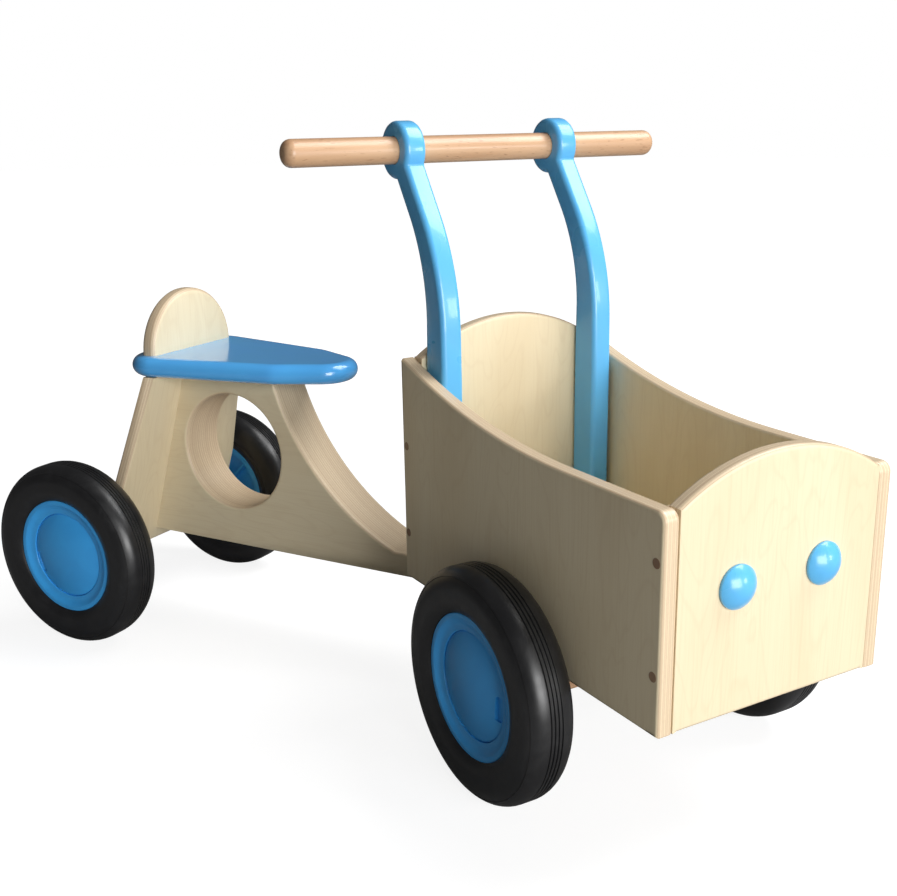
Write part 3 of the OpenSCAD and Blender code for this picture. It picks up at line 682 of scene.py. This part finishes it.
def main_board():
    """The sweeping board under the seat, with the round nose of its tongue."""
    at = FRAME_AT @ SIDEWAYS
    loops, low, high = board_outlines("main_panel", at)
    loops = [softened(loop, 0) for loop in loops]
    back, under = min(point.x for point in loops[0]), min(point.y for point in loops[0])
    seat_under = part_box("seat")[0].z

    def edge(point):
        slope = back + (point.y - under) * math.tan(math.radians(BOARD_LEAN))
        touching = point.y > seat_under - SAME or point.x < slope + 5 * SAME
        return 0 if point.x > -SAME else 0.3 * MM if touching else 3 * MM

    look = plywood_look("Main board", at @ moved(z=(low + high) / 2), high - low, "x", seed=41.0)
    shape = routed_board(loops, low, high, edge, 5)
    tongue_top = max(point.y for point in loops[0] if point.x > -30 * MM)
    half = (high - low) / 2
    half_disc = [Vector(point) for point in arc((0, 0), half, -90, 90, 24)]
    nose = routed_board([half_disc], under, tongue_top, 3 * MM, 5)
    nose.transform(at.inverted() @ FRAME_AT)
    add_shape(shape, nose)
    piece("main_board", shape, at, look, "frame", "birch_ply", ["main_panel"])


def back_board():
    """The leaning board behind the main board, cut level under the seat."""
    loops, low, high = board_outlines("rear_board", BOARD_AT)
    top = max(point.y for point in loops[0])

    def edge(point):
        return 0 if point.y > top - SAME else 3 * MM

    shape = routed_board([softened(loop, 0) for loop in loops], low, high, edge)
    level = BOARD_AT.inverted() @ Vector((0, 0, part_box("seat")[0].z))
    up = BOARD_AT.inverted().to_3x3() @ Vector((0, 0, 1))
    everything = shape.verts[:] + shape.edges[:] + shape.faces[:]
    cut = bmesh.ops.bisect_plane(
        shape, geom=everything, dist=SAME, plane_co=level, plane_no=up, clear_outer=True
    )
    rim = [part for part in cut["geom_cut"] if isinstance(part, bmesh.types.BMEdge)]
    bmesh.ops.holes_fill(shape, edges=rim)
    bmesh.ops.recalc_face_normals(shape, faces=shape.faces)
    look = plywood_look("Back board", BOARD_AT @ moved(z=(low + high) / 2), high - low, seed=53.0)
    piece("back_board", shape, BOARD_AT, look, "frame", "birch_ply", ["rear_board"])


# Rounds of the seat's outline: distance behind the kingpin, distance from the middle line, radius
SEAT_ROUNDS = [(340, 37, 30), (274.5, 10, 45), (228, 8, 38.5), (191, 0, 30)]


def round_outline(rounds):
    """The outline of a band pulled tight round circles on both sides of the middle line."""
    points = []
    for behind, aside, radius in rounds:
        for side in (-1, 1):
            ring = arc((-behind * MM, side * aside * MM), radius * MM, 0, 356, 89)
            points += [Vector(point) for point in ring]
    return [points[i] for i in convex_hull_2d(points)]


def seat_and_backrest():
    """The seat with a fully round edge, and the half-round board behind it."""
    low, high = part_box("seat")[0].z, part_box("seat")[1].z
    shape = routed_board([round_outline(SEAT_ROUNDS)], low, high, (high - low) / 2, 8)
    piece("seat_board", shape, FRAME_AT, seat_paint, "frame", "seat_paint", ["seat"])

    def rim(point):
        return 0 if point.y < high - 1 * MM else 5 * MM

    routed_piece("backrest_board", "backrest", FRAME_AT @ CROSSWAYS, "frame", rim, 0, seed=61.0)


def axle_blocks():
    """Solid beech blocks that carry the axles."""
    for name, node, at, body in (
        ("front_block", "front_axle_block", BOX_AT @ SIDEWAYS, "cargo_box"),
        ("rear_block", "rear_axle_block", FRAME_AT @ turned(BOARD_LEAN, "Y") @ SIDEWAYS, "frame"),
    ):
        look = beech_look(name.replace("_", " ").capitalize(), at, len(name))
        routed_piece(name, node, at, body, 1.5 * MM, 3 * MM, look=look, slot="beech")


# Turned parts, drawn from a wheel's inner face outwards as (radius, along its axis)
HALF_TYRE = 20 * MM
RIB_MIDDLE = 10.1 * MM


def tyre_profile():
    """A round tyre with four fine grooves, a moulding step outside and a rib held by the hub."""
    grooves = []
    for middle in (15.5, 18.5, 21.5, 24.5):
        near = [(85, -0.75), (84.75, -0.5), (84, -0.35), (84, 0.35), (84.75, 0.5), (85, 0.75)]
        grooves += [(radius, middle + along) for radius, along in near]
    inner = in_mm((53, 16), (53, 5), (54.5, 3.4), (57, 2.25), (60, 0.9))
    outer = in_mm((60, 39.1), (57, 37.75), (54.5, 36.6), (53, 35), (53, 24), (56, 24), (56, 16))
    low = arc((70 * MM, 15 * MM), 15 * MM, -117, 0, 12)
    shoulder = arc((70 * MM, 25 * MM), 15 * MM, 0, 52, 7) + arc((70 * MM, 25 * MM), 14.5 * MM, 53, 90, 6)
    return inner + low + in_mm(*grooves) + shoulder + in_mm((63, 39.6)) + outer


def hub_profile():
    """A hub with a flat web, a dished rim and a ledge for its cap."""
    back = in_mm((6.05, 1.5), (12.4, 1.5), (13.05, 2.2), (13.05, 14), (47, 14), (47, 5), (53, 5))
    rim = in_mm((53, 16), (56, 16), (56, 24), (53, 24), (53, 34.2), (52.6, 34.8), (51.8, 35), (49.4, 35))
    dish = in_mm((48.6, 34.8), (47.4, 34.2), (46, 33.4), (44.6, 32.8), (43.2, 32.4), (41.8, 32.15))
    ledge = in_mm((40.6, 32), (39.9, 31.8), (39.6, 31.4), (39.5, 29), (36, 29), (36, 18))
    boss = in_mm((13.05, 18), (13.05, 23.8), (12.4, 24.4), (6.05, 24.4))
    return back + rim + dish + ledge + boss


def cap_profile():
    """A low dome that is hollow behind."""
    outside, inside = 131.7 * MM, 128.1 * MM
    middle = 37 * MM - outside
    dome = arc((0, middle), outside, 90, 73.1, 10)
    hollow = arc((0, middle), inside, 74.6, 90, 10)
    return dome + in_mm((39.1, 30.7), (39.3, 30.2), (39.3, 29), (34.6, 29)) + hollow


def wheel(name, side, slot_turn):
    """A tyre on a dished hub with ribs behind it, and a cap over its nut with its slot at an angle."""
    low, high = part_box(name + "_tyre")
    heading = frame_turn if name.startswith("rear") else 0
    upright = moved(*((low + high) / 2)) @ turned(heading, "Z")
    at = upright @ turned(-90 * side, "X") @ moved(z=-HALF_TYRE)
    tyre = turned_part(tyre_profile(), rubber, True, 128)
    piece(name + "_rubber", tyre, at, rubber, name + "_wheel", "tyre", [name + "_tyre"])
    hub = turned_part(hub_profile(), hub_plastic, True)
    nothing = bpy.data.meshes.new("nothing")
    ribs = as_shape(grown(RIBS, nothing, hub_plastic))
    ribs.transform(moved(z=RIB_MIDDLE))
    add_shape(hub, ribs)
    piece(name + "_dish", hub, at, hub_plastic, name + "_wheel", "hub_plastic", [name + "_hub"])
    cap = as_shape(grown(SLOTTED_CAP, profile_mesh(cap_profile(), False), hub_plastic))
    bmesh.ops.remove_doubles(cap, verts=cap.verts, dist=SAME)
    cap_at = at @ turned(slot_turn, "Z")
    piece(name + "_cover", cap, cap_at, hub_plastic, name + "_wheel", "hub_plastic", [name + "_cap"])


def handlebar():
    """A round bar with rounded ends."""
    low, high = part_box("handlebar")
    reach, end = (high.y - low.y) / 2, 7 * MM
    radius = (high.z - low.z) / 2
    profile = [(0, -reach)] + arc((radius - end, end - reach), end, -90, 0, 8)
    profile += arc((radius - end, reach - end), end, 0, 90, 8) + [(0, reach)]
    shape = turned_part(profile, bar_beech, facets=64)
    at = moved(*((low + high) / 2)) @ turned(-90, "X")
    piece("grip_bar", shape, at, bar_beech, "cargo_box", "beech", ["handlebar"])


def knobs():
    """Domed headlight knobs, with the dowel that holds each in the front panel."""
    profile = arc((0, -9.5 * MM), 18.5 * MM, 90, 39.5, 12) + in_mm((14.5, 1.8), (14.5, 0.5), (14.1, 0))
    profile += in_mm((4, 0), (4, -11.5), (0, -11.5))
    for side in SIDES:
        low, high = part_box("headlight_knob_" + side)
        at = moved(BOX_AT.translation.x, (low.y + high.y) / 2, (low.z + high.z) / 2) @ turned(90, "Y")
        shape = turned_part(profile, sky_paint, facets=64)
        piece("knob_" + side, shape, at, sky_paint, "cargo_box", "sky_paint", ["headlight_knob_" + side])


# Fixings
def islands(shape):
    """The points of each loose part, always in the same order."""
    left, parts = dict.fromkeys(shape.verts), []
    while left:
        part, edge = [], [left.popitem()[0]]
        while edge:
            vert = edge.pop()
            part.append(vert.co.copy())
            for near in [link.other_vert(vert) for link in vert.link_edges]:
                if near in left:
                    del left[near]
                    edge.append(near)
        parts.append(part)
    return parts


def fixing_spots(node, way_out):
    """Points on the heads of a node's loose parts, each with the way its head faces."""
    shape = cad_shape(node, Matrix())
    spots = []
    for part in islands(shape):
        way = way_out(sum(part, Vector()) / len(part))
        top = max(point.dot(way) for point in part)
        head = [point for point in part if point.dot(way) > top - SAME]
        spots.append((sum(head, Vector()) / len(head), way))
    shape.free()
    spots.sort(key=lambda spot: tuple(spot[0]))
    mesh = bpy.data.meshes.new("spots")
    mesh.from_pydata([place for place, _ in spots], [], [])
    ways = mesh.attributes.new("way", "FLOAT_VECTOR", "POINT")
    ways.data.foreach_set("vector", [part for _, way in spots for part in way])
    return mesh


def fixings(name, node, way_out, profile, look, body, slot, facets=24):
    """Shows a node's fixings as copies of one turned profile, each facing its own way."""
    mesh = grown(TURNED_PART, profile_mesh(profile, False), look, facets=facets)
    part = bpy.data.objects.new("fixing", mesh)
    shape = as_shape(grown(FIXINGS, fixing_spots(node, way_out), look, shape=part))
    bpy.data.objects.remove(part)
    piece(name, shape, Matrix(), look, body, slot, [node])


def all_fixings():
    """The screws that show, and the wooden plugs over the rest."""
    head = in_mm((0, -1.3), (1.0, -1.2), (1.4, -0.9), (1.6, 0.15), (2.4, 0.1), (3.4, -0.5), (3.9, -1.4))
    head += in_mm((4, -2.6), (2, -2.6), (2, -20), (0, -22))
    backwards = -(FRAME_AT @ turned(BOARD_LEAN, "Y")).to_3x3().col[0]
    for name, node, way, body in (
        ("arm_screw_heads", "arm_screws", Vector((-1, 0, 0)), "cargo_box"),
        ("floor_screw_heads", "front_block_screws", Vector((0, 0, 1)), "cargo_box"),
        ("board_screw_heads", "board_screws", backwards, "frame"),
        ("block_screw_heads", "rear_block_screws", backwards, "frame"),
    ):
        fixings(name, node, lambda centre, way=way: way, head, steel, body, "steel")
    middle = BOX_AT.translation.y

    def outwards(centre):
        return Vector((0, math.copysign(1, centre.y - middle), 0))

    plug = in_mm((0, 0.12), (3.2, 0.12), (3.5, -0.1), (3.5, -3.9), (0, -3.9))
    fixings("plugs", "screw_plugs", outwards, plug, plug_beech, "cargo_box", "beech", 32)


def dress(look, *nodes):
    """Gives CAD nodes that are shown as they are a look."""
    for node in nodes:
        materials = frame["nodes"][node].data.materials
        materials.clear()
        materials.append(look)


# Stage
def pale_floor():
    """A pale floor that turns white away from the cycle."""
    shape = bmesh.new()
    bmesh.ops.create_circle(shape, cap_ends=True, segments=96, radius=FLOOR_REACH)
    mesh = bpy.data.meshes.new("floor")
    shape.to_mesh(mesh)
    shape.free()
    floor = bpy.data.objects.new("floor", mesh)
    bpy.context.scene.collection.objects.link(floor)
    look, tree, shader = new_look("Pale floor", roughness=0.9, specular_ior_level=0.1)
    shader.inputs["Base Color"].default_value = (*FLOOR_TONE, 1)
    glow = put(tree, "ShaderNodeEmission", {"Color": (1, 1, 1, 1)})
    seen = put(tree, "ShaderNodeLightPath").outputs["Is Camera Ray"]
    place = put(tree, "ShaderNodeTexCoord").outputs["Object"]
    away = put(tree, "ShaderNodeVectorMath", {0: place}, operation="LENGTH").outputs["Value"]
    white = between(tree, away, 0.4, 1.5, FLOOR_GLOW, 1.0)
    tree.links.new(work_out(tree, "MULTIPLY", seen, white), glow.inputs["Strength"])
    both = put(tree, "ShaderNodeAddShader", {0: shader.outputs[0], 1: glow.outputs[0]})
    tree.links.new(both.outputs[0], tree.nodes["Material Output"].inputs["Surface"])
    mesh.materials.append(look)


def room_light():
    """White behind everything, and a dim even light from all round."""
    world = bpy.data.worlds.new("Studio")
    world.use_nodes = True
    tree = world.node_tree
    seen = put(tree, "ShaderNodeLightPath").outputs["Is Camera Ray"]
    strength = work_out(tree, "MAXIMUM", seen, ROOM_GLOW)
    tree.links.new(strength, tree.nodes["Background"].inputs["Strength"])
    tree.nodes["Background"].inputs["Color"].default_value = (1, 1, 1, 1)
    bpy.context.scene.world = world


def panel_light(name, azimuth, height, away, width, tall, power):
    """A soft panel that faces the middle of the cycle, at an azimuth from the box's forward way."""
    lamp = bpy.data.lights.new(name, "AREA")
    lamp.shape, lamp.size, lamp.size_y, lamp.energy = "RECTANGLE", width, tall, power
    light = bpy.data.objects.new(name, lamp)
    bpy.context.scene.collection.objects.link(light)
    aim = BOX_AT @ moved(-0.2, 0, 0.2) @ turned(azimuth, "Z") @ turned(-height, "Y")
    light.matrix_world = aim @ moved(x=away) @ turned(90, "Z") @ turned(90, "X")
    light.visible_camera = False


def camera():
    """Looks down past the box's front corner, from the place that gives the box this perspective."""
    lens = bpy.data.cameras.new("Camera")
    lens.lens, lens.sensor_width = FOCAL_LENGTH, 36
    eye = bpy.data.objects.new("Camera", lens)
    bpy.context.scene.collection.objects.link(eye)
    place = BOX_AT @ moved(*CAMERA_PLACE)
    aim = turned(CAMERA_HEADING - 90, "Z") @ turned(90 - CAMERA_DIP, "X")
    eye.matrix_world = place @ aim @ turned(-CAMERA_TILT, "Z")
    bpy.context.scene.camera = eye


FLOOR_REACH = 12.0
FLOOR_TONE, FLOOR_GLOW = (0.3, 0.3, 0.3), 0.86
ROOM_GLOW = 0.08
CAMERA_PLACE = (482.741 * MM, -518.045 * MM, 467.050 * MM)
CAMERA_HEADING, CAMERA_DIP, CAMERA_TILT = 149.712, 15.7215, 0.8936
FOCAL_LENGTH = 47.274

box_boards()
handle_arms()
handlebar()
knobs()
main_board()
back_board()
seat_and_backrest()
axle_blocks()
wheel("front_right", -1, -4)
wheel("front_left", 1, 60)
wheel("rear_right", -1, 199)
wheel("rear_left", 1, 120)
all_fixings()
dress(steel, "panel_screws", "front_axle", "front_axle_washers", "front_axle_nuts")
dress(steel, "rear_axle", "rear_axle_washers", "rear_axle_nuts")
dress(steel, "kingpin_bolt", "kingpin_washers", "kingpin_nut")
dress(nylon, "kingpin_bush", "thrust_washer", *(name + "_bush" for name in WHEELS))
dress(plug_beech, "handlebar_pins", "seat_dowels", "backrest_dowels")
pale_floor()
room_light()
panel_light("Key light", 33, 9, 2.2, 0.4, 0.4, 7)
panel_light("Broad light", -3, 10, 2.5, 1.6, 1.3, 60)
panel_light("Top light", 70, 56, 2.4, 1.5, 1.5, 56)
camera()
bpy.context.scene.view_settings.view_transform = "Standard"
